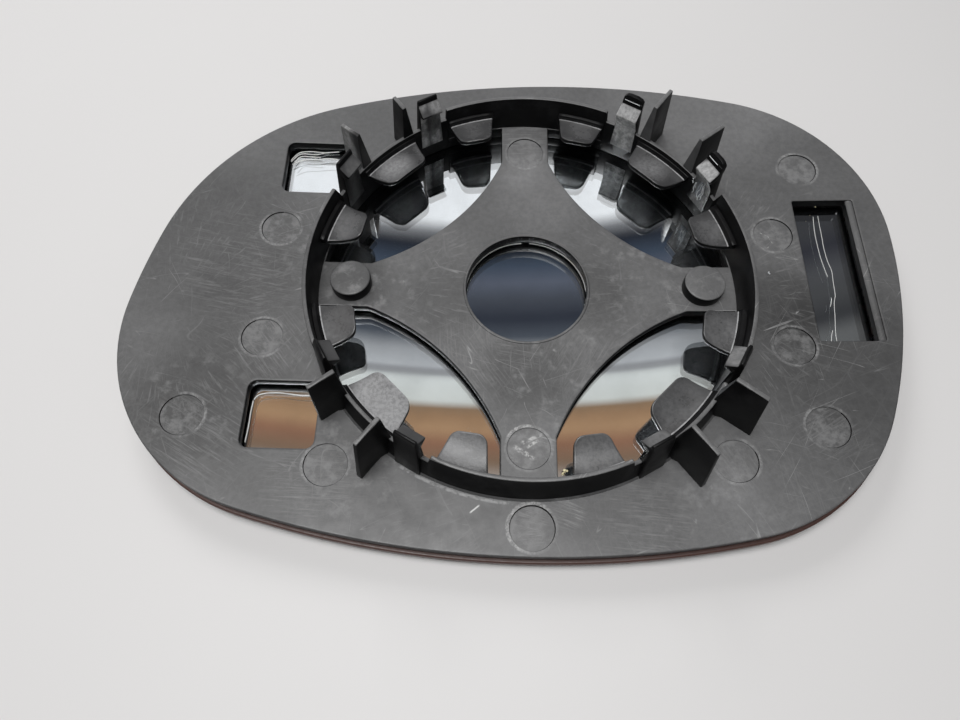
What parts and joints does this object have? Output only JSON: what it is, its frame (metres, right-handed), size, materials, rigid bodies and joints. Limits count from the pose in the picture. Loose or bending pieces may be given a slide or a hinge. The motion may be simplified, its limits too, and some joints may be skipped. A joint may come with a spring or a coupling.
{
  "type": "car door mirror glass",
  "caption": "Convex door mirror glass for a car, seen from the back: glass stuck to a moulded oval holder with a snap ring, spring tabs, hooks and fins on an arm cross.",
  "frame": {"origin": "centre of the hole in the middle, where the plate's upper face would be flat at its axis", "axes": "+Z along the hole out of the back of the mirror, towards the actuator; +X along the plate towards the end with the single tall window; +Y across it, towards the long edge that lies far away in the picture"},
  "size_m": [0.1523, 0.1074, 0.0197],
  "materials": {
    "holder_plastic": "charcoal moulded plastic, semi-matte, scuffed",
    "adhesive": "pale double-sided adhesive film",
    "mirror_coating": "polished convex mirror glass with a clean ground edge"
  },
  "bodies": {
    "root": {"backing_plate": "holder_plastic", "adhesive_film": "adhesive", "mirror_glass": "mirror_coating"}
  },
  "joints": []
}
